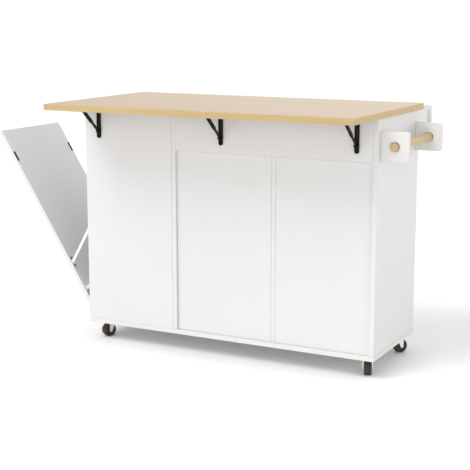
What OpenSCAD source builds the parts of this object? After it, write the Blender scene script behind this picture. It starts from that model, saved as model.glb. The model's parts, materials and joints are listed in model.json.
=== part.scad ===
// Drop leaf kitchen island on casters, with a tilt-out bin door, drawers, doors and a towel rack.
// X runs along the cabinet to the towel rack, Y from the leaf side to the drawer side, Z is up.
// The origin is on the floor under the middle of the cabinet. It stands as photographed: leaf
// raised, bin door tilted out, one drawer part open.

/* [Overall] */
// Height of the top of the worktop above the floor
total_h = 914; // [880:1:960]
// Length of the cabinet from the bin door end to the towel rack end
cabinet_l = 1152; // [1000:1:1400]
// Depth of the cabinet from the leaf side to the drawer side
cabinet_d = 408; // [360:1:500]

/* [Worktop and leaf] */
// Thickness of the worktop and of the leaf
top_t = 22; // [18:1:30]
// How far the worktop stands out past each end of the cabinet
end_overhang = 11; // [5:1:30]
// How far the worktop stands out past the drawer side
front_overhang = 15; // [5:1:30]
// Width of the leaf, out from the cabinet
leaf_w = 239; // [200:1:320]
// Gap between the leaf and the fixed worktop
leaf_gap = 1; // [0.5:0.5:2]

/* [Panels] */
// Thickness of the end panel, partitions, decks and back rail
panel_t = 16; // [15:1:19]
// Thickness of the base board
base_t = 17; // [15:1:22]
// Thickness of the two recessed back panels
back_t = 5; // [3:1:9]
// How deep the recessed back panels lie behind the panel edges
back_recess = 10; // [2:1:12]
// Length of the bin bay, up to the partition
bin_bay_l = 368; // [300:1:440]
// Clear length of the middle bay
middle_bay_l = 378; // [300:1:400]
// Height of the drawer zone under the worktop, and of the back rail
drawer_zone_h = 147; // [120:1:180]
// Width of the stretchers under the worktop
stretcher_w = 60; // [40:1:80]
// Thickness of the stretchers under the worktop
stretcher_t = 12; // [10:1:16]
// Thickness of the shelves
shelf_t = 15; // [12:1:18]
// Height of the shelves above the base board
shelf_h = 300; // [150:1:450]
// Radius of a shelf pin
shelf_pin_r = 2.5; // [2:0.5:3]
// Length of a shelf pin out of the panel
shelf_pin_l = 9; // [6:1:12]

/* [Fronts] */
// Thickness of the drawer fronts and doors
front_t = 16; // [15:1:19]
// Gap round every drawer front and door
front_gap = 2; // [2:0.5:3]
// Distance between the two posts of a pull handle
handle_pitch = 96; // [64:32:128]
// Radius of the bar of a pull handle
handle_bar_r = 5; // [4:0.5:7]
// Radius of the posts of a pull handle
handle_post_r = 3.5; // [2.5:0.5:4]
// Clear space behind the bar of a pull handle
handle_reach = 22; // [18:1:35]
// How far the bar runs on past each post
handle_tail = 20; // [10:1:30]
// Distance from a door's free edge to its handle
handle_inset = 30; // [20:1:50]

/* [Drawers] */
// How far the end drawer stands open
drawer_open = 204; // [0:1:250]
// Space behind the closed drawer boxes
drawer_back_space = 26; // [10:1:60]
// Thickness of the sides and ends of the drawer boxes
drawer_box_t = 12; // [9:1:15]
// Thickness of the bottoms of the drawer boxes
drawer_bottom_t = 5; // [3:1:6]
// Space between a drawer box and the panel beside it, which holds the runner
runner_space = 12.5; // [12.5:0.5:14]
// Height of a runner
runner_h = 36; // [30:1:45]
// Thickness of the runners' steel
runner_t = 1.5; // [1:0.1:2]
// Space between the drawer box and the deck under it
drawer_lift = 12; // [8:1:20]

/* [Bin door] */
// Thickness of the bin door and of the rail under it
bin_door_t = 15; // [12:1:18]
// Height of the rail under the bin door
bin_rail_h = 24; // [20:1:60]
// Gap between the top of the closed bin door and the worktop
bin_top_gap = 4; // [3:1:8]
// Angle at which the bin door stands open
bin_open_angle = 32.4; // [15:0.1:40]
// How far the ledge stands out from the inside of the bin door
ledge_d = 200; // [120:1:260]
// Thickness of the ledge
ledge_t = 15; // [12:1:18]
// Height of the ledge above the bin door's hinge
ledge_rise = 75; // [40:1:120]
// Distance of the handle below the top of the bin door
bin_handle_drop = 30; // [20:1:150]
// Height of the middle of the stay brackets above the bin door's hinge
stay_rise = 197; // [150:1:300]
// Distance from the stay's pivot to its stud on the cabinet
stay_l = 240; // [220:1:300]
// Lean of the stays from upright, with the door open
stay_lean = 29.7; // [20:0.1:40]
// Width of the stays
stay_w = 12; // [9:1:16]
// Distance of the middle of the strike plates below the top of the bin door
strike_drop = 115; // [30:1:200]
// Length of the strike plates and the magnetic catches
strike_l = 40; // [30:1:50]
// Width of the strike plates
strike_w = 9; // [7:1:12]

/* [Towel rack] */
// Height of the boards of the towel rack
rack_board_h = 100; // [80:1:130]
// How far the boards stand out from the end panel
rack_board_w = 97; // [80:1:130]
// Thickness of the boards
rack_board_t = 15; // [12:1:20]
// Radius of the boards' outer corners
rack_corner_r = 10; // [4:1:20]
// Distance of the bar below the underside of the worktop
rack_bar_drop = 92; // [70:1:200]
// Distance of the board on the leaf side from that edge of the end panel
rack_inset_back = 24; // [10:1:60]
// Distance of the board on the drawer side from that edge of the end panel
rack_inset_front = 21; // [10:1:60]
// Radius of the bar
rack_bar_r = 15; // [10:1:18]
// How much larger the radius of the holes for the bar is
rack_hole_play = 1.5; // [0.5:0.5:2]
// How far the bar runs out past each board
rack_bar_tail = 8; // [3:1:20]

/* [Leaf brackets] */
// Mean distance of the outer brackets from the cabinet's ends
bracket_inset = 67.5; // [40:0.5:120]
// How far the three brackets stand off centre, towards the bin end
bracket_shift = 6; // [0:0.5:10]
// How far the wall arms reach below the lower links' pivot
wall_arm_tail = 25.5; // [24:0.5:40]
// How far the arms under the leaf reach past the upper links' pivot
leaf_arm_tail = 68; // [40:1:90]
// Width of the wall arms
wall_arm_w = 16; // [15:0.5:18]
// Depth of the sides of both arms between their pivots
arm_depth = 5.5; // [5:0.5:8]
// Thickness of the wall arms' steel
arm_t = 1.5; // [1.2:0.1:1.5]
// Distance of the leaf's pivot from the cabinet's back and from the underside of the leaf
leaf_pivot_out = 12.5; // [12.5:0.5:14]
// Distance of the links' end pivots from the cabinet's back and from the underside of the leaf
link_pivot_out = 6.5; // [6:0.5:7]
// Distance of the lower link's pivot below the leaf's pivot
lower_pivot_drop = 80; // [76:1:90]
// Distance of the upper link's pivot out from the leaf's pivot
upper_pivot_reach = 92; // [86:1:96]
// Width of the lower links
lower_link_w = 9; // [7:0.5:9]
// Thickness of the lower links
lower_link_t = 4; // [3:0.5:4.5]
// Width of the sides of the upper links
upper_link_w = 11.6; // [9:0.1:11.6]
// Outer width of the upper links' channels
upper_link_out = 7.2; // [6.6:0.1:8.4]
// Radius of the brackets' rivets
rivet_r = 2.5; // [2:0.1:3]

/* [Hinges] */
// Radius of the knuckles of the door hinges
knuckle_r = 3; // [2.5:0.1:4]
// Length of a door hinge
hinge_l = 50; // [40:1:70]
// Width of a leaf of a door hinge
hinge_leaf_w = 13; // [10:1:14]
// Thickness of a leaf of a door hinge
hinge_leaf_t = 0.8; // [0.6:0.1:0.8]
// Radius of a hinge pin
hinge_pin_r = 1.5; // [1:0.1:1.8]

/* [Casters] */
// Radius of the wheels
wheel_r = 25; // [20:1:30]
// Width of the wheels
wheel_w = 28; // [20:1:30]
// Height of a caster above its wheel
caster_head_h = 17; // [15:1:25]
// Distance of the wheel's axle from the swivel's axis
trail = 18; // [12:1:20]
// Distance of the swivels at the bin end from that end
caster_inset_bin = 51; // [50:1:90]
// Distance of the swivels at the towel end from that end
caster_inset_rack = 49; // [48:1:90]
// Distance of the swivels from the long side with the leaf
caster_inset_back = 80; // [48:1:90]
// Distance of the swivels from the long side with the doors
caster_inset_front = 48; // [48:1:90]
// Radius of the axles
axle_r = 3; // [2.5:0.1:4]

/* [Hidden] */
$fn = 64;

// Colours
white = [0.94, 0.94, 0.93];
pale_wood = [0.88, 0.77, 0.58];
black = [0.09, 0.09, 0.09];
steel = [0.75, 0.75, 0.76];

// Running clearance of a pin in its hole, and the small gap between pieces that pass each other
pin_play = 0.05;
near_gap = 0.4;

// Planes of the cabinet
x_bin = -cabinet_l / 2;
x_rack = cabinet_l / 2;
y_back = -cabinet_d / 2;
y_front = cabinet_d / 2;
z_base = 2 * wheel_r + caster_head_h;
z_floor = z_base + base_t;
z_top = total_h - top_t;
z_rail = z_top - drawer_zone_h;
z_deck = z_rail - panel_t;
z_stretcher = z_top - stretcher_t;
y_back_panel = y_back + back_recess + back_t;
drawer_y = [y_back + panel_t + drawer_back_space, y_front - front_t];

// Bays between the upright panels
x_partition = x_bin + bin_bay_l;
x_middle = x_partition + panel_t;
x_divider = x_middle + middle_bay_l;
x_end = x_divider + panel_t;
x_side = x_rack - panel_t;
bays = [[x_middle, x_divider], [x_end, x_side]];

// Brackets: pivots as [y, z]
bracket_x = [x_bin + bracket_inset - bracket_shift, -bracket_shift,
             x_rack - bracket_inset - bracket_shift];
leaf_pivot = [y_back - leaf_pivot_out, z_top - leaf_pivot_out];
lower_pivot = [y_back - link_pivot_out, leaf_pivot.y - lower_pivot_drop];
upper_pivot = [leaf_pivot.x - upper_pivot_reach, z_top - link_pivot_out];
brace_l = norm(upper_pivot - lower_pivot);
// The links differ so that the raised brace is straight and the folded one fits the arms
link_difference = 12;
lower_link_l = (brace_l - link_difference) / 2;
knee = lower_pivot + (upper_pivot - lower_pivot) * lower_link_l / brace_l;
z_wall_arm = z_top - 3;
z_wall_arm_low = lower_pivot.y - wall_arm_tail;
leaf_arm_l = upper_pivot_reach + leaf_arm_tail;
leaf_arm_w = wall_arm_w - 2 * arm_t - 2 * 0.3;
leaf_arm_t = 1.4;
// Thickness of the upper links' steel, and how far their webs run from the upper pivots
upper_link_t = 1.2;
upper_web = [10, 46];
ear_r = 5.5;
rivet_head_r = 4;
rivet_head_t = 1.2;
screw_head_t = 1.2;
screw_head_r = 3.6;

// Bin door: y range, hinge axis as [x, z], and the stay's pivot and stud as [x, z]
bin_y0 = y_back + panel_t + front_gap;
bin_y1 = y_front - panel_t - front_gap;
bin_pivot = [x_bin - knuckle_r - 0.2, z_floor + bin_rail_h + 1];
bin_top = z_top - bin_top_gap;
bin_inner_x = x_bin + bin_door_t;
stay_pivot_off = 9;
stay_t = 2;
stay_end_r = stay_w / 2;
stay_y = [bin_y0 + 2, bin_y1 - 2 - stay_t];
stay_pivot_closed = [bin_inner_x + stay_pivot_off, bin_pivot.y + stay_rise];
function tilted(p) = let (d = p - bin_pivot, c = cos(bin_open_angle), s = sin(bin_open_angle))
    bin_pivot + [d.x * c - d.y * s, d.x * s + d.y * c];
stay_pivot_open = tilted(stay_pivot_closed);
stay_stud = stay_pivot_open + stay_l * [sin(stay_lean), cos(stay_lean)];
stay_slide = stay_l - norm(stay_stud - stay_pivot_closed);
strike_t = 1.5;
catch_t = 14;
catch_w = 11;
bin_hinge_y = [-(bin_y1 - bin_y0) / 4, (bin_y1 - bin_y0) / 4];

// Cabinet doors: hinge axis x, side of the hinge (+1: door lies towards -X), free edge x
door_z0 = z_floor + front_gap;
door_z1 = z_deck - front_gap;
door_hinge_inset = 60;
hinge_y = y_front + knuckle_r + 0.2;

// Casters: swivel x, y and heading of the wheel from the swivel
casters = [[x_bin + caster_inset_bin, y_back + caster_inset_back, 244],
           [x_rack - caster_inset_rack, y_back + caster_inset_back, -69],
           [x_rack - caster_inset_rack, y_front - caster_inset_front, 51],
           [x_bin + caster_inset_bin, y_front - caster_inset_front, 160]];
plate_l = 58;
plate_w = 46;
plate_t = 2.5;
plate_screws = [44, 32];
fork_t = 2.5;
fork_gap = 1;
z_fork = 2 * wheel_r + 2;
z_race = z_base - plate_t - near_gap;
king_r = 5;
race_r = 14;

// A block between two corners
module block(x, y, z) {
    translate([x[0], y[0], z[0]]) cube([x[1] - x[0], y[1] - y[0], z[1] - z[0]]);
}

// A flat shape drawn in [y, z], from x0 and t thick
module plate_yz(x0, t) {
    translate([x0, 0, 0]) rotate([90, 0, 90]) linear_extrude(t) children();
}

// A flat shape drawn in [x, z], from y0 and t thick
module plate_xz(y0, t) {
    translate([0, y0 + t, 0]) rotate([90, 0, 0]) linear_extrude(t) children();
}

// Puts what is drawn along +X from the origin onto the line from p to q
module along(p, q) {
    d = q - p;
    translate(p) rotate(atan2(d.y, d.x)) children();
}

// Flat bar with round ends, along +X, l between the centres of its ends
module bar_2d(l, w) {
    circle(w / 2);
    translate([l, 0]) circle(w / 2);
    translate([0, -w / 2]) square([l, w]);
}

// Round pin along X, Y or Z from a point
module pin_x(p, r, l) { translate(p) rotate([0, 90, 0]) cylinder(r = r, h = l); }
module pin_y(p, r, l) { translate(p) rotate([-90, 0, 0]) cylinder(r = r, h = l); }

// ---- Cabinet ----

module base_board() {
    color(white) block([x_bin, x_rack], [y_back, y_front], [z_base, z_floor]);
}

module end_panel() {
    color(white) block([x_side, x_rack], [y_back, y_front], [z_floor, z_top]);
}

module bin_partition() {
    color(white) block([x_partition, x_middle], [y_back, y_front], [z_floor, z_top]);
}

module storage_divider() {
    color(white) {
        block([x_divider, x_end], [y_back + back_recess, y_front], [z_floor, z_rail]);
        block([x_divider, x_end], [y_back + panel_t, y_front], [z_rail, z_top]);
    }
}

module drawer_decks() {
    color(white) for (b = bays) block(b, [y_back_panel, y_front], [z_deck, z_rail]);
}

module top_stretchers() {
    color(white) {
        for (b = bays) {
            block(b, [y_back + panel_t, y_back + panel_t + stretcher_w], [z_stretcher, z_top]);
            block(b, [y_front - front_t - 1 - stretcher_w, y_front - front_t - 1],
                  [z_stretcher, z_top]);
        }
        for (y = [y_back + panel_t, y_front - panel_t - stretcher_w])
            block([x_bin + 60, x_partition], [y, y + stretcher_w], [z_stretcher, z_top]);
    }
}

module bin_back_panel() {
    color(white) block([x_bin, x_partition], [y_back, y_back + panel_t], [z_floor, z_top]);
}

module bin_front_panel() {
    color(white) block([x_bin, x_partition], [y_front - panel_t, y_front], [z_floor, z_top]);
}

module bin_bottom_rail() {
    color(white) block([x_bin, bin_inner_x], [y_back + panel_t, y_front - panel_t],
                       [z_floor, z_floor + bin_rail_h]);
}

module back_rail() {
    color(white) block([x_middle, x_side], [y_back, y_back + panel_t], [z_rail, z_top]);
}

module back_panels() {
    color(white) for (b = bays)
        block(b, [y_back + back_recess, y_back_panel], [z_floor, z_rail]);
}

module shelves() {
    color(white) for (b = bays)
        block([b[0] + 0.5, b[1] - 0.5], [y_back_panel + 1, y_front - front_t - 12],
              [z_floor + shelf_h, z_floor + shelf_h + shelf_t]);
}

module shelf_pins() {
    color(steel) for (b = bays) for (y = [y_back_panel + 40, y_front - front_t - 52]) {
        z = z_floor + shelf_h - shelf_pin_r;
        pin_x([b[0], y, z], shelf_pin_r, shelf_pin_l);
        pin_x([b[1] - shelf_pin_l, y, z], shelf_pin_r, shelf_pin_l);
    }
}

module worktop() {
    color(pale_wood) block([x_bin - end_overhang, x_rack + end_overhang],
                           [y_back, y_front + front_overhang], [z_top, total_h]);
}

// ---- Towel rack ----

rack_y = [y_back + rack_inset_back, y_front - rack_inset_front - rack_board_t];
rack_bar_x = x_rack + rack_board_w / 2;
rack_bar_z = z_top - rack_bar_drop;

module towel_boards() {
    z0 = rack_bar_z - rack_board_h / 2;
    color(white) for (y = rack_y) plate_xz(y, rack_board_t) difference() {
        union() {
            translate([x_rack, z0]) square([rack_board_w - rack_corner_r, rack_board_h]);
            translate([x_rack, z0 + rack_corner_r])
                square([rack_board_w, rack_board_h - 2 * rack_corner_r]);
            for (z = [z0 + rack_corner_r, z0 + rack_board_h - rack_corner_r])
                translate([x_rack + rack_board_w - rack_corner_r, z]) circle(rack_corner_r);
        }
        translate([rack_bar_x, rack_bar_z]) circle(rack_bar_r + rack_hole_play);
    }
}

module towel_bar() {
    y0 = rack_y[0] - rack_bar_tail;
    y1 = rack_y[1] + rack_board_t + rack_bar_tail;
    color(pale_wood) pin_y([rack_bar_x, y0, rack_bar_z - rack_hole_play + 0.2], rack_bar_r, y1 - y0);
}

// ---- Leaf and its brackets ----

module drop_leaf() {
    color(pale_wood) block([x_bin - end_overhang, x_rack + end_overhang],
                           [y_back - leaf_gap - leaf_w, y_back - leaf_gap], [z_top, total_h]);
}

// Heights of the wall arm's two screws
wall_screw_z = [z_wall_arm_low + wall_arm_w / 2 + 2, leaf_pivot.y - 16];

// The side of an arm: a strip w deep from the web, with an ear round each pivot
module arm_side(z, w, pivots) {
    translate([0, z[0]]) square([w, z[1] - z[0]]);
    for (p = pivots) {
        translate(p) circle(ear_r);
        translate([0, p.y - ear_r]) square([p.x, 2 * ear_r]);
    }
}

module bracket_wall_arms() {
    tab_z = z_wall_arm_low + wall_arm_w / 2;
    color(black) for (x = bracket_x) {
        difference() {
            translate([x, y_back, 0]) {
                block([-wall_arm_w / 2, wall_arm_w / 2], [-arm_t, 0], [tab_z, z_wall_arm]);
                translate([0, 0, tab_z]) rotate([90, 0, 0]) cylinder(r = wall_arm_w / 2, h = arm_t);
            }
            for (z = wall_screw_z) pin_y([x, y_back - arm_t - 1, z], 2.05, arm_t + 2);
        }
        // Rim round the arm's lower end
        translate([x, y_back, tab_z]) rotate([90, 0, 0]) linear_extrude(arm_depth) difference() {
            circle(wall_arm_w / 2);
            circle(wall_arm_w / 2 - arm_t);
            translate([-wall_arm_w, 0]) square([2 * wall_arm_w, wall_arm_w]);
        }
        for (x0 = [x - wall_arm_w / 2, x + wall_arm_w / 2 - arm_t]) plate_yz(x0, arm_t)
            difference() {
                translate([y_back, 0]) mirror([1, 0])
                    arm_side([tab_z, z_wall_arm], arm_depth,
                             [for (p = [leaf_pivot, lower_pivot]) [y_back - p.x, p.y]]);
                translate(leaf_pivot) circle(rivet_r + pin_play);
                translate(lower_pivot) circle(rivet_r + pin_play);
            }
    }
}

// A rivet along X through arms w wide, with a head at each end
module rivet(x, p, w) {
    pin_x([x - w / 2 - rivet_head_t, p.x, p.y], rivet_r, w + 2 * rivet_head_t);
    for (x0 = [x - w / 2 - rivet_head_t, x + w / 2])
        pin_x([x0, p.x, p.y], rivet_head_r, rivet_head_t);
}

module bracket_wall_rivets() {
    color(black) for (x = bracket_x) {
        for (p = [leaf_pivot, lower_pivot]) rivet(x, p, wall_arm_w);
        for (z = wall_screw_z) {
            pin_y([x, y_back - arm_t - screw_head_t, z], screw_head_r, screw_head_t);
            pin_y([x, y_back - arm_t, z], 2, arm_t);
        }
    }
}

// Distances of the leaf screws from the leaf's pivot
leaf_screw_out = [30, upper_pivot_reach + 30, leaf_arm_l - 8];

module bracket_leaf_arms() {
    y0 = leaf_pivot.x - leaf_arm_l;
    web_y = y_back - 3;
    color(black) for (x = bracket_x) {
        difference() {
            translate([x, 0, z_top - leaf_arm_t]) {
                block([-leaf_arm_w / 2, leaf_arm_w / 2], [y0 + leaf_arm_w / 2, web_y],
                      [0, leaf_arm_t]);
                translate([0, y0 + leaf_arm_w / 2, 0]) cylinder(r = leaf_arm_w / 2, h = leaf_arm_t);
            }
            for (d = leaf_screw_out)
                translate([x, leaf_pivot.x - d, z_top - leaf_arm_t - 1]) cylinder(r = 2.05, h = 4);
        }
        for (x0 = [x - leaf_arm_w / 2, x + leaf_arm_w / 2 - leaf_arm_t]) plate_yz(x0, leaf_arm_t)
            difference() {
                union() {
                    translate([y0 + 16, z_top - arm_depth])
                        square([leaf_pivot.x - y0 - 16, arm_depth]);
                    for (p = [leaf_pivot, upper_pivot]) {
                        translate(p) circle(ear_r);
                        translate([p.x - ear_r, p.y]) square([2 * ear_r, z_top - p.y]);
                    }
                }
                translate(leaf_pivot) circle(rivet_r + pin_play);
                translate(upper_pivot) circle(rivet_r + pin_play);
            }
    }
}

module bracket_leaf_rivets() {
    color(black) for (x = bracket_x) {
        rivet(x, upper_pivot, leaf_arm_w);
        for (d = leaf_screw_out) translate([x, leaf_pivot.x - d, z_top - leaf_arm_t]) {
            translate([0, 0, -screw_head_t]) cylinder(r = screw_head_r, h = screw_head_t);
            cylinder(r = 2, h = leaf_arm_t);
        }
    }
}

// A link with a hole at each end
module link_2d(l, w) {
    difference() {
        bar_2d(l, w);
        for (x = [0, l]) translate([x, 0]) circle(rivet_r + pin_play);
    }
}

module bracket_lower_links() {
    color(black) for (x = bracket_x) plate_yz(x - lower_link_t / 2, lower_link_t)
        along(lower_pivot, knee) link_2d(lower_link_l, lower_link_w);
}

module bracket_knee_rivets() {
    color(black) for (x = bracket_x)
        pin_x([x - lower_link_t / 2, knee.x, knee.y], rivet_r, lower_link_t);
}

// Side of an upper link, along +X from its upper pivot: narrow there, to clear the arm's web
module upper_link_side_2d(l) {
    r = upper_link_w / 2;
    difference() {
        union() {
            circle(4.6);
            polygon([[0, -4.6], [8, -r], [l, -r], [l, r], [8, r], [0, 4.6]]);
            translate([l, 0]) circle(r);
        }
        for (x = [0, l]) translate([x, 0]) circle(rivet_r + pin_play);
    }
}

module bracket_upper_links() {
    l = brace_l - lower_link_l;
    r = upper_link_w / 2;
    color(black) for (x = bracket_x) {
        for (x0 = [x - upper_link_out / 2, x + upper_link_out / 2 - upper_link_t])
            plate_yz(x0, upper_link_t) along(upper_pivot, knee) upper_link_side_2d(l);
        // Web, on the side towards the leaf's pivot
        plate_yz(x - upper_link_out / 2, upper_link_out) along(upper_pivot, knee)
            translate([upper_web[0], r - upper_link_t])
                square([upper_web[1] - upper_web[0], upper_link_t]);
    }
}

// ---- Butt hinges ----

// Half of a hinge: its axis is Z, its leaf runs into the gap towards -Y on the side of X given
module hinge_half(side, first) {
    n = 5;
    seg = hinge_l / n;
    difference() {
        union() {
            for (i = [first:2:n - 1]) {
                translate([0, 0, i * seg + 0.2]) cylinder(r = knuckle_r, h = seg - 0.4);
                hinge_leaf(side, [-knuckle_r - 0.4, 0], [i * seg + 0.2, (i + 1) * seg - 0.2]);
            }
            hinge_leaf(side, [-knuckle_r - 0.2 - hinge_leaf_w, -knuckle_r - 0.3], [0, hinge_l]);
        }
        translate([0, 0, -1]) cylinder(r = hinge_pin_r + pin_play, h = hinge_l + 2);
    }
}

module hinge_leaf(side, y, z) {
    x = front_gap / 2;
    if (side > 0) block([x - hinge_leaf_t, x], y, z);
    else block([-x, hinge_leaf_t - x], y, z);
}

module hinge_pin() {
    cylinder(r = hinge_pin_r, h = hinge_l);
}

// ---- Pull handle: bar along X, posts towards +Y, its foot plane at y = 0 ----

module pull_handle() {
    bar_l = handle_pitch + 2 * handle_tail;
    pin_x([-bar_l / 2, handle_reach + handle_bar_r, 0], handle_bar_r, bar_l);
    for (x = [-handle_pitch / 2, handle_pitch / 2])
        pin_y([x, 0, 0], handle_post_r, handle_reach + handle_bar_r);
}

// ---- Bin door ----

// Turns what is drawn with the door closed to where the door stands open
module tilt_open() {
    translate([bin_pivot.x, 0, bin_pivot.y]) rotate([0, -bin_open_angle, 0])
        translate([-bin_pivot.x, 0, -bin_pivot.y]) children();
}

handle_screw_y = [-handle_pitch / 2, handle_pitch / 2];
z_bin_handle = bin_top - bin_handle_drop;

module bin_door() {
    color(white) tilt_open() difference() {
        block([x_bin, bin_inner_x], [bin_y0, bin_y1], [bin_pivot.y + 1, bin_top]);
        for (y = handle_screw_y)
            pin_x([x_bin - 1, y, z_bin_handle], 2.2, bin_door_t + 2);
    }
}

module bin_handle() {
    color(black) tilt_open() translate([x_bin, 0, z_bin_handle]) rotate([0, 0, 90]) pull_handle();
}

module bin_handle_screws() {
    color(steel) tilt_open() for (y = handle_screw_y) {
        pin_x([x_bin, y, z_bin_handle], 2, bin_door_t);
        pin_x([bin_inner_x, y, z_bin_handle], 4, 1.5);
    }
}

module bin_ledge() {
    color(white) tilt_open()
        block([bin_inner_x, bin_inner_x + ledge_d], [bin_y0 + 6, bin_y1 - 6],
              [bin_pivot.y + ledge_rise, bin_pivot.y + ledge_rise + ledge_t]);
}

strike_y = [bin_y0 + 2.5, bin_y1 - 2.5 - strike_w];

module bin_strike_plates() {
    z = bin_top - strike_drop;
    color(black) tilt_open() for (y = strike_y)
        block([bin_inner_x, bin_inner_x + strike_t], [y, y + strike_w],
              [z - strike_l / 2, z + strike_l / 2]);
}

module bin_catches() {
    x = bin_inner_x + strike_t + 0.5;
    z = bin_top - strike_drop;
    color(black) for (y = [y_back + panel_t, y_front - panel_t - catch_w])
        block([x, x + catch_t], [y, y + catch_w], [z - strike_l / 2, z + strike_l / 2]);
}

// Both halves of a bin hinge are drawn in the closed position, with the axis along Y
module at_bin_hinges() {
    for (y = bin_hinge_y) translate([bin_pivot.x, y - hinge_l / 2, bin_pivot.y])
        rotate([0, 90, 90]) children();
}

module bin_hinge_frame_leaves() {
    color(steel) at_bin_hinges() {
        hinge_half(1, 0);
        hinge_pin();
    }
}

module bin_hinge_door_leaves() {
    color(steel) tilt_open() at_bin_hinges() hinge_half(-1, 1);
}

// The stay's bracket: a foot screwed to the door, an ear and the pin that the stay turns on
stay_foot_t = 1.5;
stay_ear_t = 2;
stay_pin_r = 2.5;

module bin_stay_brackets() {
    z = stay_pivot_closed.y;
    x = bin_inner_x;
    color(steel) tilt_open() for (k = [0, 1]) {
        toward = k == 0 ? 1 : -1;
        ear_y = k == 0 ? stay_y[0] + stay_t + 0.6 : stay_y[1] - 0.6 - stay_ear_t;
        foot = k == 0 ? [stay_y[0] - 1, ear_y + stay_ear_t + 6]
                      : [ear_y - 6, stay_y[1] + stay_t + 1];
        block([x, x + stay_foot_t], foot, [z - 24, z + 24]);
        plate_xz(ear_y, stay_ear_t) {
            translate([x + stay_pivot_off, z]) circle(6);
            translate([x, z - 6]) square([stay_pivot_off, 12]);
        }
        pin_y([x + stay_pivot_off, k == 0 ? stay_y[0] - 0.5 : ear_y, z], stay_pin_r,
              stay_t + 0.6 + stay_ear_t + 0.5);
        for (dz = [-16, 16])
            pin_x([x + stay_foot_t, ear_y + stay_ear_t / 2 + toward * 5, z + dz], 3.5, 1.5);
    }
}

module bin_stay_arms() {
    slot_w = 7;
    color(steel) for (y = stay_y) plate_xz(y, stay_t) along(stay_pivot_open, stay_stud) difference() {
        bar_2d(stay_l + 2, stay_w);
        circle(stay_pin_r + pin_play);
        translate([stay_l - stay_slide, 0]) bar_2d(stay_slide, slot_w);
    }
}

// Studs on the two panels; each ends just short of its stay, which slides past it
module bin_stay_studs() {
    color(steel) {
        pin_y([stay_stud.x, y_back + panel_t, stay_stud.y], 5, stay_y[0] - y_back - panel_t - 0.5);
        pin_y([stay_stud.x, stay_y[1] + stay_t + 0.5, stay_stud.y], 5,
              y_front - panel_t - stay_y[1] - stay_t - 0.5);
    }
}

// ---- Drawers ----

module drawer_box(bay) {
    x = [bay[0] + runner_space, bay[1] - runner_space];
    y = drawer_y;
    z = [z_rail + drawer_lift, z_stretcher - 3];
    t = drawer_box_t;
    for (x0 = [x[0], x[1] - t]) block([x0, x0 + t], y, z);
    for (y0 = [y[0], y[1] - t]) block([x[0] + t, x[1] - t], [y0, y0 + t], z);
    block([x[0] + t, x[1] - t], [y[0] + t, y[1] - t], [z[0] + 8, z[0] + 8 + drawer_bottom_t]);
}

module drawer_front(bay) {
    block([bay[0] + front_gap, bay[1] - front_gap], [y_front - front_t, y_front],
          [z_rail + front_gap, z_top - front_gap]);
}

module drawer_handle(bay) {
    translate([(bay[0] + bay[1]) / 2, y_front, z_top - drawer_zone_h / 2]) pull_handle();
}

z_runner = z_rail + drawer_lift + 30;
runner_y = [drawer_y[0], drawer_y[1] - 2];

// C-shaped channel on a panel at x, opening towards the side given
module runner_channel(x, side) {
    d = runner_space - 2.5;
    x_web = side > 0 ? [x, x + runner_t] : [x - runner_t, x];
    x_lip = side > 0 ? [x, x + d] : [x - d, x];
    block(x_web, runner_y, [z_runner, z_runner + runner_h]);
    block(x_lip, runner_y, [z_runner, z_runner + runner_t]);
    block(x_lip, runner_y, [z_runner + runner_h - runner_t, z_runner + runner_h]);
}

module runner_channels() {
    color(steel) for (b = bays) {
        runner_channel(b[0], 1);
        runner_channel(b[1], -1);
    }
}

// C-shaped slide on the drawer box at x, nested in the channel with 0.3 above and below
module drawer_slide(x, side) {
    z = [z_runner + runner_t + 0.3, z_runner + runner_h - runner_t - 0.3];
    d = runner_space - runner_t - 0.5;
    x_web = side > 0 ? [x - runner_t, x] : [x, x + runner_t];
    x_lip = side > 0 ? [x - d, x] : [x, x + d];
    block(x_web, runner_y, z);
    block(x_lip, runner_y, [z[0], z[0] + runner_t]);
    block(x_lip, runner_y, [z[1] - runner_t, z[1]]);
}

module drawer_slides(bay) {
    drawer_slide(bay[0] + runner_space, 1);
    drawer_slide(bay[1] - runner_space, -1);
}

// ---- Doors ----

// side +1: the hinges are at the high-X end of the bay
module door_panel(bay) {
    block([bay[0] + front_gap, bay[1] - front_gap], [y_front - front_t, y_front],
          [door_z0, door_z1]);
}

function door_hinge_x(bay, side) = side > 0 ? bay[1] - front_gap / 2 : bay[0] + front_gap / 2;

module at_door_hinges(bay, side) {
    for (z = [door_z0 + door_hinge_inset, door_z1 - door_hinge_inset - hinge_l])
        translate([door_hinge_x(bay, side), hinge_y, z]) children();
}

module door_handle(bay, side) {
    x = side > 0 ? bay[0] + front_gap + handle_inset : bay[1] - front_gap - handle_inset;
    translate([x, y_front, door_z1 - handle_pitch / 2 - 60]) rotate([0, 90, 0]) pull_handle();
}

door_sides = [-1, 1];

module door_hinge_frame_leaves() {
    color(steel) for (i = [0, 1]) at_door_hinges(bays[i], door_sides[i]) {
        hinge_half(door_sides[i], 0);
        hinge_pin();
    }
}

module door_hinge_leaves(bay, side) {
    at_door_hinges(bay, side) hinge_half(-side, 1);
}

// ---- Casters ----

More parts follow.
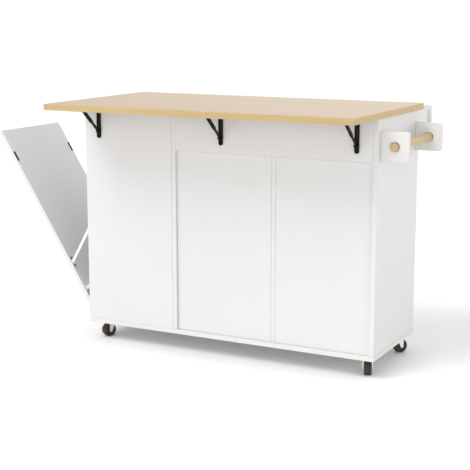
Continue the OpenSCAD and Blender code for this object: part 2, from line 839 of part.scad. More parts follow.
module caster_plates() {
    color(steel) for (c = casters) translate([c[0], c[1], z_base - plate_t]) {
        difference() {
            block([-plate_l / 2, plate_l / 2], [-plate_w / 2, plate_w / 2], [0, plate_t]);
            translate([0, 0, -1]) cylinder(r = king_r + pin_play, h = plate_t + 2);
            for (x = [-1, 1], y = [-1, 1])
                translate([x * plate_screws[0] / 2, y * plate_screws[1] / 2, -1])
                    cylinder(r = 2.2, h = plate_t + 2);
        }
        for (x = [-1, 1], y = [-1, 1])
            translate([x * plate_screws[0] / 2, y * plate_screws[1] / 2, 0]) {
                cylinder(r = 2, h = plate_t);
                translate([0, 0, -1.5]) cylinder(r = 3.8, h = 1.5);
            }
    }
}

module at_caster(i) {
    translate([casters[i][0], casters[i][1], 0]) rotate([0, 0, casters[i][2]]) children();
}

module caster_fork(i) {
    inner = wheel_w / 2 + fork_gap;
    crown = [z_fork, z_fork + fork_t];
    at_caster(i) {
        // Race and king pin
        translate([0, 0, crown[1]]) cylinder(r1 = race_r, r2 = race_r - 3, h = z_race - crown[1]);
        translate([0, 0, z_race]) cylinder(r = king_r, h = z_base - 0.3 - z_race);
        translate([0, 0, crown[0]]) cylinder(r = race_r, h = fork_t);
        block([0, trail + 6], [-inner - fork_t, inner + fork_t], crown);
        // Pointed legs
        for (y = [-inner - fork_t, inner]) plate_xz(y, fork_t) difference() {
            union() {
                polygon([[0, crown[1]], [trail + 6, crown[1]], [trail + 6, crown[0] - 3],
                         [trail + 5.5, wheel_r], [trail - 5, wheel_r - 2], [0, crown[0] - 3]]);
                translate([trail, wheel_r]) circle(6);
            }
            translate([trail, wheel_r]) circle(axle_r + pin_play);
        }
        // Axle with its heads
        pin_y([trail, -inner - fork_t - 1.5, wheel_r], axle_r, 2 * (inner + fork_t + 1.5));
        for (y = [-inner - fork_t - 1.5, inner + fork_t]) pin_y([trail, y, wheel_r], 4.5, 1.5);
    }
}

module caster_wheel(i) {
    w = wheel_w / 2;
    at_caster(i) translate([trail, 0, wheel_r]) rotate([90, 0, 0]) rotate_extrude($fn = 96)
        polygon([[axle_r + pin_play, -w], [7, -w], [8, -w + 2], [wheel_r - 7, -w + 2],
                 [wheel_r - 5, -w + 0.5], [wheel_r - 1.5, -w + 1], [wheel_r, -w + 3],
                 [wheel_r, w - 3], [wheel_r - 1.5, w - 1], [wheel_r - 5, w - 0.5],
                 [wheel_r - 7, w - 2], [8, w - 2], [7, w], [axle_r + pin_play, w]]);
}

// ---- Assembly ----

base_board();
end_panel();
bin_partition();
storage_divider();
drawer_decks();
top_stretchers();
bin_back_panel();
bin_front_panel();
bin_bottom_rail();
back_rail();
back_panels();
shelves();
shelf_pins();
worktop();
towel_boards();
towel_bar();
bracket_wall_arms();
bracket_wall_rivets();
bin_hinge_frame_leaves();
bin_stay_studs();
bin_catches();
door_hinge_frame_leaves();
runner_channels();
caster_plates();
drop_leaf();
bracket_leaf_arms();
bracket_leaf_rivets();
bracket_lower_links();
bracket_knee_rivets();
bracket_upper_links();
bin_door();
bin_handle();
bin_handle_screws();
bin_ledge();
bin_strike_plates();
bin_hinge_door_leaves();
bin_stay_brackets();
bin_stay_arms();

// The end drawer stands open, the middle one is shut
for (i = [0, 1]) {
    name = ["middle", "end"][i];
    bay = bays[i];
    side = door_sides[i];
    translate([0, i * drawer_open, 0]) {
        color(white) drawer_box(bay);
        color(white) drawer_front(bay);
        color(black) drawer_handle(bay);
        color(steel) drawer_slides(bay);
    }
    color(white) door_panel(bay);
    color(black) door_handle(bay, side);
    color(steel) door_hinge_leaves(bay, side);
}
for (i = [0:3]) {
    color(steel) caster_fork(i);
    color(black) caster_wheel(i);
}
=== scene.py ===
# %% [markdown]
# # A drop leaf kitchen island
# This lesson dresses a finished construction model: a white cabinet on casters, with a pale wooden
# top whose leaf folds down, a bin door that tilts out, drawers, cupboard doors and a towel rack.
# The construction model gives every size and place. Here each part gets soft edges, real screws
# and wheels, and a material with the grain, texture and sheen that the real one has. We load the
# model first and keep its box, because nothing made here may be larger.

# %% Load the construction model
import json
import math

import bmesh
import bpy
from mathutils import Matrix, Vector


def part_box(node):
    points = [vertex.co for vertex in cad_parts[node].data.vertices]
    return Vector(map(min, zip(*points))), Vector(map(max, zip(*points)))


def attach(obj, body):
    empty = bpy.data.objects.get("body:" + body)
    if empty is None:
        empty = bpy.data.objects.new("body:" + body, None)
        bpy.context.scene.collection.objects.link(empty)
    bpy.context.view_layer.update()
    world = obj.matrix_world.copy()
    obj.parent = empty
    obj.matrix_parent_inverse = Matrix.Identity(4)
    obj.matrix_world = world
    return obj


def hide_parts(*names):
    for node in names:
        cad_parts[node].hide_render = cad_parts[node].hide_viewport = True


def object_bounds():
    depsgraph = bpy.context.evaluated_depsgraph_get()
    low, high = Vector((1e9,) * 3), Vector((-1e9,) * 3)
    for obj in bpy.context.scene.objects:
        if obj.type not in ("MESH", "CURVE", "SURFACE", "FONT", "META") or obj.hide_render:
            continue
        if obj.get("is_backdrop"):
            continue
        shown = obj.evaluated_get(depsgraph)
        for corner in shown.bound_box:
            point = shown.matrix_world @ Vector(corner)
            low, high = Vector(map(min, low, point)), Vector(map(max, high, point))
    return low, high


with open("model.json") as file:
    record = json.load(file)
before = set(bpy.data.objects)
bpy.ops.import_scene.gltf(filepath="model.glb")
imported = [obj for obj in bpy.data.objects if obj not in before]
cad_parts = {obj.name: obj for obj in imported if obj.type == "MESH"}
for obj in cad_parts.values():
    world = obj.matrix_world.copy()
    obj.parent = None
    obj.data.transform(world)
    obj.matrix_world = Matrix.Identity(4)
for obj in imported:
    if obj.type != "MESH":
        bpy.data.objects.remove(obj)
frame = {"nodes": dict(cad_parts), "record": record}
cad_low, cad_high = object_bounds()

MM = 0.001
scene = bpy.context.scene
nodes = frame["nodes"]
behaviour = frame["record"]["behaviour"]
body_of_node = {node: body for body, members in behaviour["bodies"].items() for node in members}
print(len(nodes), "parts; size in metres:", [round(v, 3) for v in cad_high - cad_low])

# %% [markdown]
# ## The camera
# The photograph is taken from the right of the leaf side, a little above the worktop, with a long
# lens. A camera can be aimed with a target, but here its place, turn and tilt are known from
# fitting the worktop's corners, so they are set as numbers. The lens follows from the angle of
# view that the fit gave.

# %% Camera
CAMERA_PLACE = Vector((1.930, -3.828, 1.260))
CAMERA_TURN = 0.4788    # radians to the left of straight ahead
CAMERA_TILT = 0.1936    # radians downwards
LENS_MM, SENSOR_MM = 90.36, 36
FARTHEST = 60           # metres; nothing beyond this is drawn

camera = bpy.data.objects.new("camera", bpy.data.cameras.new("camera"))
scene.collection.objects.link(camera)
camera.location = CAMERA_PLACE
camera.rotation_euler = (math.pi / 2 - CAMERA_TILT, 0, CAMERA_TURN)
camera.data.lens = LENS_MM
camera.data.sensor_width = SENSOR_MM
camera.data.clip_end = FARTHEST
scene.camera = camera
print("camera", [round(v, 3) for v in camera.location], "lens", LENS_MM, "mm")

# %% [markdown]
# ## Building node trees in code
# Materials and Geometry Nodes are both graphs. In a script, adding one node takes several lines:
# make it, set its options, set or link each input. One short helper does all three, so each graph
# below reads almost like a recipe: an input given as a socket is linked, and anything else is set
# as a plain value.

# %% Helpers for node trees
def add(tree, kind, inputs=None, **options):
    """Adds a node. inputs maps an input's name or number to a value or another node's socket."""
    node = tree.nodes.new(kind)
    for name, value in options.items():
        setattr(node, name, value)
    for key, value in (inputs or {}).items():
        if isinstance(value, bpy.types.NodeSocket):
            tree.links.new(value, node.inputs[key])
        else:
            node.inputs[key].default_value = value
    return node


def math_node(tree, operation, a, b=0.0, c=0.0):
    return add(tree, "ShaderNodeMath", {0: a, 1: b, 2: c}, operation=operation).outputs[0]


def mix_colour(tree, factor, a, b, blend="MIX"):
    """Mixes two colours by a factor; sockets 6 and 7 are the colour inputs of the Mix node."""
    node = add(tree, "ShaderNodeMix", {0: factor, 6: a, 7: b}, data_type="RGBA", blend_type=blend)
    return node.outputs[2]


def stretch(tree, value, low, high, to_low=0.0, to_high=1.0):
    """Maps low..high to to_low..to_high and holds the value at both ends."""
    return add(tree, "ShaderNodeMapRange",
               {0: value, 1: low, 2: high, 3: to_low, 4: to_high}).outputs[0]


print("node helpers ready")

# %% Helper for node groups
FLOAT, VECTOR, COLOUR = "NodeSocketFloat", "NodeSocketVector", "NodeSocketColor"
WHOLE, SWITCH, GEOMETRY, MATERIAL = ("NodeSocketInt", "NodeSocketBool", "NodeSocketGeometry",
                                     "NodeSocketMaterial")


def new_group(name, kind, inputs, outputs):
    """A group with named sockets: inputs are (name, type, default), outputs (name, type)."""
    tree = bpy.data.node_groups.new(name, kind)
    add_socket = tree.interface.new_socket
    for socket_name, socket_type, default in inputs:
        socket = add_socket(name=socket_name, in_out="INPUT", socket_type=socket_type)
        if default is not None:
            socket.default_value = default
    for socket_name, socket_type in outputs:
        add_socket(name=socket_name, in_out="OUTPUT", socket_type=socket_type)
    return tree, add(tree, "NodeGroupInput"), add(tree, "NodeGroupOutput")


print("group helper ready")

# %% [markdown]
# ## Shared effect: cloudy variation
# No real surface is perfectly even: board, paint and zinc are all a touch lighter, darker, duller
# or shinier from place to place. A noise of two sizes gives that. It is a group, because every
# finish below uses it with its own scale, and it gives out one soft value between 0 and 1.

# %% Group: cloudy variation
FINER_BY, FINER_SHARE = 6.3, 0.35
clouds, cloud_in, cloud_out = new_group(
    "cloudy variation", "ShaderNodeTree",
    [("Vector", VECTOR, None), ("Scale", FLOAT, 8.0)], [("Value", FLOAT)])
broad = add(clouds, "ShaderNodeTexNoise", {
    "Vector": cloud_in.outputs["Vector"], "Scale": cloud_in.outputs["Scale"], "Detail": 3.0})
finer = add(clouds, "ShaderNodeTexNoise", {
    "Vector": cloud_in.outputs["Vector"], "Detail": 2.0,
    "Scale": math_node(clouds, "MULTIPLY", cloud_in.outputs["Scale"], FINER_BY)})
both = math_node(clouds, "MULTIPLY_ADD", finer.outputs[0], FINER_SHARE,
                 math_node(clouds, "MULTIPLY", broad.outputs[0], 1 - FINER_SHARE))
clouds.links.new(stretch(clouds, both, 0.3, 0.7), cloud_out.inputs["Value"])
print("group:", clouds.name)

# %% [markdown]
# ## Shared effect: pebbled skin
# Printed foil on board, powder paint and moulded plastic all have a fine pebbled skin. It could
# be modelled, but its bumps are far smaller than a millimetre, so a height value for a Bump node
# is the right tool. A cell pattern makes the pebbles, and a broader noise under it keeps them from
# looking woven.

# %% Group: pebbled skin
RIPPLE_BY, RIPPLE_SHARE = 0.37, 0.6
skin, skin_in, skin_out = new_group(
    "pebbled skin", "ShaderNodeTree",
    [("Vector", VECTOR, None), ("Scale", FLOAT, 900.0)], [("Height", FLOAT)])
cells = add(skin, "ShaderNodeTexVoronoi", {
    "Vector": skin_in.outputs["Vector"], "Scale": skin_in.outputs["Scale"]}, feature="SMOOTH_F1")
ripple = add(skin, "ShaderNodeTexNoise", {
    "Vector": skin_in.outputs["Vector"], "Detail": 2.0,
    "Scale": math_node(skin, "MULTIPLY", skin_in.outputs["Scale"], RIPPLE_BY)})
pebbles = math_node(skin, "MULTIPLY_ADD", ripple.outputs[0], RIPPLE_SHARE,
                    cells.outputs["Distance"])
skin.links.new(pebbles, skin_out.inputs["Height"])
print("group:", skin.name)

# %% [markdown]
# ## Shared effect: edge rub
# Hands and cloths rub edges before they touch flat faces. Every part below gets rounded edges
# whose faces carry an attribute named *edge*, so a material can tell an edge from a flat face
# exactly, with no guessing from curvature. Noise breaks the rub into patches.

# %% Group: edge rub
PATCH_START, PATCH_FULL = 0.85, 0.8    # the start moves down as the rub reaches further
rub, rub_in, rub_out = new_group(
    "edge rub", "ShaderNodeTree",
    [("Vector", VECTOR, None), ("Patch Scale", FLOAT, 60.0), ("Reach", FLOAT, 0.5)],
    [("Mask", FLOAT)])
edge_mark = add(rub, "ShaderNodeAttribute", attribute_name="edge")
patches = add(rub, "ShaderNodeTexNoise", {
    "Vector": rub_in.outputs["Vector"], "Scale": rub_in.outputs["Patch Scale"], "Detail": 4.0})
start = math_node(rub, "SUBTRACT", PATCH_START, rub_in.outputs["Reach"])
patchy = stretch(rub, patches.outputs[0], start, PATCH_FULL)
rub.links.new(math_node(rub, "MULTIPLY", patchy, edge_mark.outputs["Fac"]),
              rub_out.inputs["Mask"])
print("group:", rub.name)

# %% [markdown]
# ## Shared effect: straight wood grain
# The top, the leaf and the towel bar show pale wood with quiet, straight grain. A picture of wood
# would repeat and would need unwrapping. Noise in three dimensions, stretched along the grain,
# runs through the piece like the real thing, so the edges and end faces match the top. Three
# layers make it: broad heart streaks, fine fibres and short dark pores. The top is glued up from
# staves, and each stave takes its own tone and its own stretch of the pattern.

# %% Group: wood grain, its staves
wood, wood_in, wood_out = new_group(
    "wood grain", "ShaderNodeTree",
    [("Vector", VECTOR, None), ("Pale", COLOUR, (0.8, 0.63, 0.4, 1)),
     ("Deep", COLOUR, (0.6, 0.42, 0.2, 1)), ("Stave Width", FLOAT, 0.06),
     ("Contrast", FLOAT, 0.5)],
    [("Color", COLOUR), ("Roughness", FLOAT), ("Height", FLOAT)])
STAVE_SHIFT = 7.0    # metres of pattern between one stave and the next, at most
place = add(wood, "ShaderNodeSeparateXYZ", {0: wood_in.outputs["Vector"]})
along, across, through = place.outputs
stave = math_node(wood, "FLOOR",
                  math_node(wood, "DIVIDE", across, wood_in.outputs["Stave Width"]))
stave_tone = add(wood, "ShaderNodeTexWhiteNoise", {"W": stave},
                 noise_dimensions="1D").outputs["Value"]
shifted = math_node(wood, "MULTIPLY_ADD", stave_tone, STAVE_SHIFT, along)
print("staves ready")


# %% Group: wood grain, its three layers
def grain_noise(scale_along, scale_across, detail, distortion=0.0):
    """Noise stretched along the grain by the ratio of its two scales."""
    vector = add(wood, "ShaderNodeCombineXYZ", {
        0: math_node(wood, "MULTIPLY", shifted, scale_along),
        1: math_node(wood, "MULTIPLY", across, scale_across),
        2: math_node(wood, "MULTIPLY", through, scale_across)})
    return add(wood, "ShaderNodeTexNoise", {
        "Vector": vector.outputs[0], "Scale": 1.0, "Detail": detail,
        "Distortion": distortion}).outputs[0]


STREAK_SHARE, FIBRE_SHARE, STAVE_SHARE = 0.5, 0.3, 0.2
MIDDLE_TONE, PORE_DARKNESS, WOOD_SHEEN = 0.42, 0.35, (0.40, 0.50)
streaks = stretch(wood, grain_noise(1.1, 26.0, 4.0, 0.6), 0.32, 0.68)
fibres = stretch(wood, grain_noise(9.0, 420.0, 3.0), 0.3, 0.7)
pores = stretch(wood, grain_noise(34.0, 1500.0, 1.0), 0.62, 0.74)
tone = math_node(wood, "MULTIPLY_ADD", fibres, FIBRE_SHARE,
                 math_node(wood, "MULTIPLY", streaks, STREAK_SHARE))
tone = math_node(wood, "MULTIPLY_ADD", stave_tone, STAVE_SHARE, tone)
tone = math_node(wood, "MULTIPLY_ADD", math_node(wood, "SUBTRACT", tone, 0.5),
                 wood_in.outputs["Contrast"], MIDDLE_TONE)
base = mix_colour(wood, tone, wood_in.outputs["Pale"], wood_in.outputs["Deep"])
pored = mix_colour(wood, math_node(wood, "MULTIPLY", pores, PORE_DARKNESS), base,
                   wood_in.outputs["Deep"], "MULTIPLY")
ridges = math_node(wood, "MULTIPLY_ADD", pores, -1.0, math_node(wood, "MULTIPLY", fibres, 0.5))
wood.links.new(pored, wood_out.inputs["Color"])
wood.links.new(stretch(wood, fibres, 0.0, 1.0, *WOOD_SHEEN), wood_out.inputs["Roughness"])
wood.links.new(ridges, wood_out.inputs["Height"])
print("group:", wood.name)

# %% [markdown]
# ## The materials
# Each finish is a Principled shader fed by the groups above. They share four steps: read the
# object's own coordinates, so a pattern stays with its part when it moves; place the groups; turn
# a height into a Bump; and set what is constant, such as the metal look or a coat, on the
# shader's own sockets.

# %% Helpers for materials
def new_material(name, turn=0.0):
    """A material, its tree, its Principled shader and the object's coordinates, turned about Z."""
    material = bpy.data.materials.new(name)
    material.use_nodes = True
    tree = material.node_tree
    shader = tree.nodes["Principled BSDF"]
    coords = add(tree, "ShaderNodeTexCoord").outputs["Object"]
    if turn:
        coords = add(tree, "ShaderNodeMapping",
                     {"Vector": coords, "Rotation": (0, 0, turn)}).outputs[0]
    return material, tree, shader, coords


def effect(tree, group, **inputs):
    """Places a shared effect; spaces in an input's name are written as underscores."""
    values = {key.replace("_", " "): value for key, value in inputs.items()}
    return add(tree, "ShaderNodeGroup", values, node_tree=group).outputs


def face_mark(tree, name):
    """The value, 0 or 1, that each face carries in an attribute."""
    return add(tree, "ShaderNodeAttribute", attribute_name=name).outputs["Fac"]


def blended(tree, mask, share, under, over):
    """One colour over another where the mask is, by a share of the mask."""
    return mix_colour(tree, math_node(tree, "MULTIPLY", mask, share), under, over)


def finish_with(tree, shader, colour, roughness, height, depth, **constants):
    """Links colour, roughness and height; depth is in metres. Constants go on the shader."""
    tree.links.new(colour, shader.inputs["Base Color"])
    tree.links.new(roughness, shader.inputs["Roughness"])
    bump = add(tree, "ShaderNodeBump", {"Height": height, "Distance": depth, "Strength": 1.0})
    tree.links.new(bump.outputs[0], shader.inputs["Normal"])
    for name, value in constants.items():
        shader.inputs[name.replace("_", " ")].default_value = value


def grey(level, warm=0.0):
    return (level * (1 + warm), level, level * (1 - warm), 1)


print("material helpers ready")

# %% [markdown]
# ### White foil
# The boards are pressed wood wrapped in white foil: satin, very slightly warm, with a faint
# pebble. The rub mask lets a little cream show along the rounded edges, where foil is thinnest.
# Where a hole is drilled, the brown pressed wood shows. Faces in such a hole carry an attribute
# named *raw*, and the material mixes in speckled brown there. Where two boards meet, the rounded
# edges form a fine groove, which the material darkens with painted shade and a little dust. The
# rail's lower edge gets the same painted shadow line. Those faces carry an attribute named *seam*.

# %% White foil
FOIL_SHADES = grey(0.665, 0.009), grey(0.685, 0.006)
WORN_CREAM = (0.78, 0.75, 0.69, 1)
RAW_BROWNS = (0.25, 0.155, 0.08, 1), (0.42, 0.28, 0.15, 1)
# The last grey is painted shade with a little dust, for the grooves between boards and under the
# rail.
SEAM_SHADE_AND_DUST = grey(0.26, 0.04)
FOIL_SHEEN, PEBBLE_DEPTH, CHIP_SCALE = (0.50, 0.60), 0.012 * MM, 700.0

white_foil, tree, shader, coords = new_material("white foil")
tint = effect(tree, clouds, Vector=coords, Scale=3.0)["Value"]
worn = effect(tree, rub, Vector=coords, Patch_Scale=45.0, Reach=0.4)["Mask"]
white = mix_colour(tree, tint, *FOIL_SHADES)
white = blended(tree, worn, 0.4, white, WORN_CREAM)
chips = add(tree, "ShaderNodeTexVoronoi", {"Vector": coords, "Scale": CHIP_SCALE})
brown = mix_colour(tree, chips.outputs["Color"], *RAW_BROWNS)
white = mix_colour(tree, face_mark(tree, "raw"), white, brown)
# Painted shade with a little dust: the seam faces and the rail's lower edge turn grey, as a shadow
# line.
white = blended(tree, face_mark(tree, "seam"), 0.6, white, SEAM_SHADE_AND_DUST)
sheen = effect(tree, clouds, Vector=coords, Scale=11.0)["Value"]
pebble = effect(tree, skin, Vector=coords, Scale=1400.0)["Height"]
finish_with(tree, shader, white, stretch(tree, sheen, 0, 1, *FOIL_SHEEN), pebble, PEBBLE_DEPTH,
            Specular_IOR_Level=0.4)
print("material:", white_foil.name)

# %% [markdown]
# ### Pale wood, along X and along Y
# The same grain group serves the top and the towel bar. Only the coordinates turn: the top's
# grain runs along the cabinet, the bar's along the bar. The top's flat face is sealed with a thin
# clear coat that gives it a quiet shine. Its narrow edges are covered with a strip of thin wood
# tape, a little yellower and duller, and the object's own normal tells the two apart, so the tape
# keeps to the edges when the leaf hangs.

# %% Pale wood
TAPE_PALE, TAPE_DEEP = (0.545, 0.41, 0.21, 1), (0.455, 0.31, 0.137, 1)
FACE_PALE, FACE_DEEP = (0.475, 0.352, 0.222, 1), (0.405, 0.288, 0.168, 1)
RUBBED_WOOD = (0.80, 0.68, 0.46, 1)
TAPE_COAT, FACE_COAT, BAR_COAT = 0.05, 0.12, 0.15
STAVE_WIDTH, ONE_STAVE = 0.068, 0.5    # metres; the bar is thinner than one stave
GRAIN_DEPTH = 0.03 * MM


def pale_wood(name, turn, stave_width, contrast, has_tape=False):
    material, tree, shader, coords = new_material(name, turn)
    pale, deep = TAPE_PALE, TAPE_DEEP
    if has_tape:
        normal = add(tree, "ShaderNodeTexCoord").outputs["Normal"]
        up = add(tree, "ShaderNodeSeparateXYZ", {0: normal}).outputs["Z"]
        flat = stretch(tree, math_node(tree, "ABSOLUTE", up), 0.80, 0.90)
        pale = mix_colour(tree, flat, TAPE_PALE, FACE_PALE)
        deep = mix_colour(tree, flat, TAPE_DEEP, FACE_DEEP)
        coat = stretch(tree, flat, 0, 1, TAPE_COAT, FACE_COAT)
        tree.links.new(coat, shader.inputs["Coat Weight"])
    else:
        shader.inputs["Coat Weight"].default_value = BAR_COAT
    grain = effect(tree, wood, Vector=coords, Stave_Width=stave_width, Contrast=contrast,
                   Pale=pale, Deep=deep)
    worn = effect(tree, rub, Vector=coords, Patch_Scale=30.0, Reach=0.5)["Mask"]
    colour = blended(tree, worn, 0.3, grain["Color"], RUBBED_WOOD)
    finish_with(tree, shader, colour, grain["Roughness"], grain["Height"], GRAIN_DEPTH,
                Coat_Roughness=0.3, Specular_IOR_Level=0.2)
    return material


top_wood = pale_wood("pale wood top", 0.0, STAVE_WIDTH, 0.9, has_tape=True)
bar_wood = pale_wood("pale wood bar", math.pi / 2, ONE_STAVE, 0.8)
print("materials:", top_wood.name, "and", bar_wood.name)

# %% [markdown]
# ### Black paint, black plastic and zinc
# Brackets and handles are steel under black powder paint; rubbed edges let grey through. Wheels
# and catches are moulded plastic. Hinges, runners and caster forks are zinc plated: a metal whose
# shine is broken up by soft crystal patches. Where the plated sheet was cut, it is dull and dark.

# %% Black paint
PAINT_SHADES, BARE_STEEL = (grey(0.004), grey(0.007)), grey(0.06)
PAINT_SHEEN, PAINT_DEPTH = (0.34, 0.46), 0.03 * MM
black_paint, tree, shader, coords = new_material("black powder paint")
worn = effect(tree, rub, Vector=coords, Patch_Scale=180.0, Reach=0.45)["Mask"]
tint = effect(tree, clouds, Vector=coords, Scale=40.0)["Value"]
colour = blended(tree, worn, 0.35, mix_colour(tree, tint, *PAINT_SHADES), BARE_STEEL)
pebble = effect(tree, skin, Vector=coords, Scale=1100.0)["Height"]
finish_with(tree, shader, colour, stretch(tree, tint, 0, 1, *PAINT_SHEEN), pebble, PAINT_DEPTH,
            Specular_IOR_Level=0.16)
print("material:", black_paint.name)

# %% Black plastic
PLASTIC_SHADES = (0.030, 0.019, 0.010, 1), (0.062, 0.042, 0.024, 1)
SCUFFED_PLASTIC = (0.12, 0.095, 0.06, 1)
PLASTIC_SHEEN, PLASTIC_DEPTH = (0.42, 0.6), 0.02 * MM
black_plastic, tree, shader, coords = new_material("black moulded plastic")
dust = effect(tree, clouds, Vector=coords, Scale=55.0)["Value"]
worn = effect(tree, rub, Vector=coords, Patch_Scale=90.0, Reach=0.5)["Mask"]
colour = blended(tree, worn, 0.4, mix_colour(tree, dust, *PLASTIC_SHADES), SCUFFED_PLASTIC)
pebble = effect(tree, skin, Vector=coords, Scale=1800.0)["Height"]
finish_with(tree, shader, colour, stretch(tree, dust, 0, 1, *PLASTIC_SHEEN), pebble,
            PLASTIC_DEPTH, Specular_IOR_Level=0.3)
print("material:", black_plastic.name)

# %% Zinc plate
ZINC_SHADES = grey(0.80), grey(0.90, 0.01)
BRIGHT_ZINC, CUT_STEEL = grey(0.94), grey(0.16)
ZINC_SHEEN, CRYSTAL_SHARE, CRYSTAL_DEPTH = (0.26, 0.42), 0.4, 0.02 * MM
zinc, tree, shader, coords = new_material("zinc plate")
crystals = add(tree, "ShaderNodeTexVoronoi", {"Vector": coords, "Scale": 260.0})
soft = effect(tree, clouds, Vector=coords, Scale=70.0)["Value"]
patch = math_node(tree, "MULTIPLY_ADD", crystals.outputs["Color"], CRYSTAL_SHARE,
                  math_node(tree, "MULTIPLY", soft, 1 - CRYSTAL_SHARE))
worn = effect(tree, rub, Vector=coords, Patch_Scale=120.0, Reach=0.6)["Mask"]
colour = blended(tree, worn, 0.6, mix_colour(tree, patch, *ZINC_SHADES), BRIGHT_ZINC)
colour = mix_colour(tree, face_mark(tree, "raw"), colour, CUT_STEEL)
finish_with(tree, shader, colour, stretch(tree, patch, 0, 1, *ZINC_SHEEN), soft, CRYSTAL_DEPTH,
            Metallic=1.0)
print("material:", zinc.name)

# %% [markdown]
# ## From construction part to furniture part
# A construction part has knife edges. Real board and sheet metal never do, and the fine bright
# line that a rounded edge catches is what makes a render look solid. We copy each part, weld its
# loose triangles, melt flat neighbours together and round every edge with a Bevel modifier. The
# bevel's faces go to a second material slot for a moment, which tells us which faces are edges;
# we write that down as the *edge* attribute and remove the slot again. A Weighted Normal modifier
# then lets each large face decide the shading at its corners, so that flat boards look flat.

# %% Welding a part and baking its modifiers
WELD_DISTANCE = 0.002 * MM
MELT_ANGLE = math.radians(0.5)


def welded(node):
    """A construction part's mesh, open for editing, with its loose triangles joined."""
    bm = bmesh.new()
    bm.from_mesh(nodes[node].data)
    bmesh.ops.remove_doubles(bm, verts=bm.verts, dist=WELD_DISTANCE)
    return bm


def merged_copy(node, name):
    """A welded copy of a part's mesh with flat neighbours melted together."""
    bm = welded(node)
    bmesh.ops.dissolve_limit(bm, angle_limit=MELT_ANGLE, verts=bm.verts, edges=bm.edges,
                             delimit={"NORMAL"})
    mesh = bpy.data.meshes.new(name)
    bm.to_mesh(mesh)
    bm.free()
    return mesh


def baked(piece):
    """Replaces a piece's mesh with what its modifiers make of it, and removes them."""
    if piece.name not in scene.collection.objects:
        scene.collection.objects.link(piece)
    shown = piece.evaluated_get(bpy.context.evaluated_depsgraph_get())
    mesh = bpy.data.meshes.new_from_object(shown)
    piece.modifiers.clear()
    piece.data = mesh
    mesh.name = piece.name
    return piece


print("welding and baking helpers ready")

# %% Rounding a part's edges
BEVEL_ANGLE, SHARP_ANGLE = math.radians(30), math.radians(50)
LARGE_FACES_RULE = 100    # the Weighted Normal modifier's strongest weight


def mark_faces(mesh, name, test):
    """Writes 1 on the faces that pass the test and 0 on the others, for the materials to read."""
    marks = mesh.attributes.new(name, "FLOAT", "FACE")
    marks.data.foreach_set("value", [float(test(face)) for face in mesh.polygons])


def rounded(name, mesh, material, radius_mm, segments, cutter=None):
    """An object with its sharp edges rounded and its edge faces marked; a cutter drills holes."""
    mesh.materials.clear()
    mesh.materials.append(material)
    mesh.materials.append(material)
    for face in mesh.polygons:
        face.material_index = 0
        face.use_smooth = True
    piece = bpy.data.objects.new(name, mesh)
    if cutter:
        drill = piece.modifiers.new("drilled holes", "BOOLEAN")
        drill.object, drill.solver = cutter, "EXACT"
    bevel = piece.modifiers.new("round edges", "BEVEL")
    bevel.width, bevel.segments = radius_mm * MM, segments
    bevel.limit_method, bevel.angle_limit = "ANGLE", BEVEL_ANGLE
    bevel.use_clamp_overlap = True
    bevel.material = 1
    baked(piece)
    piece.data.set_sharp_from_angle(angle=SHARP_ANGLE)
    even = piece.modifiers.new("even shading", "WEIGHTED_NORMAL")
    even.weight, even.keep_sharp = LARGE_FACES_RULE, True
    baked(piece)
    mesh = piece.data
    mark_faces(mesh, "edge", lambda face: face.material_index == 1)
    for face in mesh.polygons:
        face.material_index = 0
    mesh.materials.pop(index=1)
    return piece


def stands_for(piece, node, slot):
    """The piece rides on the part's body and is shown in its place; the slot is not used."""
    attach(piece, body_of_node[node])
    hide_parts(node)
    return piece


print("rounding helpers ready")

# %% [markdown]
# ## Geometry Nodes on points
# Screws, rivets, wheel ribs and rows of holes all repeat one small shape by a rule. A node tree
# builds the shape from named inputs and sets it on points, each with an *axis* that says which
# way is up. The same helpers serve every tree: one sets instances on the points, one ends the
# tree with its material, and one makes the points, fills in the inputs by their identifiers and
# keeps only the finished mesh.

# %% Helpers for geometry trees
def xyz(tree, x, y, z):
    return add(tree, "ShaderNodeCombineXYZ", {0: x, 1: y, 2: z}).outputs[0]


def about_z(tree, angle):
    """A turn about Z by an angle."""
    return add(tree, "FunctionNodeAxisAngleToRotation",
               {"Axis": (0, 0, 1), "Angle": angle}).outputs[0]


def set_on_points(tree, points, instance, spin=None):
    """Instances turned so that their Z follows each point's axis."""
    axis = add(tree, "GeometryNodeInputNamedAttribute", {"Name": "axis"},
               data_type="FLOAT_VECTOR").outputs[0]
    turn = add(tree, "FunctionNodeAlignRotationToVector", {"Vector": axis}, axis="Z").outputs[0]
    if spin is not None:
        turn = add(tree, "FunctionNodeRotateRotation", {
            "Rotation": turn, "Rotate By": about_z(tree, spin)},
            rotation_space="LOCAL").outputs[0]
    return add(tree, "GeometryNodeInstanceOnPoints", {
        "Points": points, "Instance": instance, "Rotation": turn}).outputs[0]


def end_tree(tree, tree_in, tree_out, instances):
    """Ends a tree: the instances become real, take the material and go out."""
    real = add(tree, "GeometryNodeRealizeInstances", {0: instances}).outputs[0]
    painted = add(tree, "GeometryNodeSetMaterial", {
        "Geometry": real, "Material": tree_in.outputs["Material"]})
    tree.links.new(painted.outputs[0], tree_out.inputs["Geometry"])
    print("tree:", tree.name)


def grown(name, tree, spots, **inputs):
    """The mesh that a tree makes on spots, which are pairs of a place and an axis."""
    mesh = bpy.data.meshes.new(name)
    mesh.from_pydata([tuple(place) for place, axis in spots], [], [])
    axes = mesh.attributes.new("axis", "FLOAT_VECTOR", "POINT")
    axes.data.foreach_set("vector", [value for place, axis in spots for value in axis])
    piece = bpy.data.objects.new(name, mesh)
    modifier = piece.modifiers.new("grown", "NODES")
    modifier.node_group = tree
    for socket in tree.interface.items_tree:
        key = socket.name.replace(" ", "_")
        if socket.in_out == "INPUT" and key in inputs:
            modifier[socket.identifier] = inputs[key]
    return baked(piece)


print("geometry tree helpers ready")

# %% [markdown]
# ## Where things go
# The construction model keeps alike solids together in one part, such as all shelf pins or all
# rivets. To set something on each, we need them one by one. Walking from vertex to vertex along
# the edges finds each solid, and its box gives its place and size.

